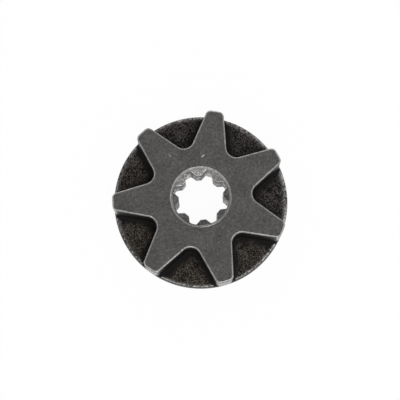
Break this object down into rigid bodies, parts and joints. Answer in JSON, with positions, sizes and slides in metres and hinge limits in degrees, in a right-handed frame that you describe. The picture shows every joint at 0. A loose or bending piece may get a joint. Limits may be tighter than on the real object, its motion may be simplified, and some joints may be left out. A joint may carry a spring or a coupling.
{
  "type": "chainsaw drive sprocket",
  "caption": "Star-shaped drive sprocket for a saw chain: tapered teeth standing on a round flange, with a bevelled splined bore, sintered as a single piece of dark steel.",
  "frame": {"origin": "centre of the bore at the flange's back face", "axes": "+Z along the bore from the flange towards the star's face, -X along the tooth that lines up with a space of the spline"},
  "size_m": [0.036, 0.036, 0.0096],
  "materials": {
    "sintered_steel": "matte dark grey sintered steel, ground on the star's face, grainy and near black in the gullets"
  },
  "bodies": {
    "root": {"sprocket": "sintered_steel"}
  },
  "joints": []
}
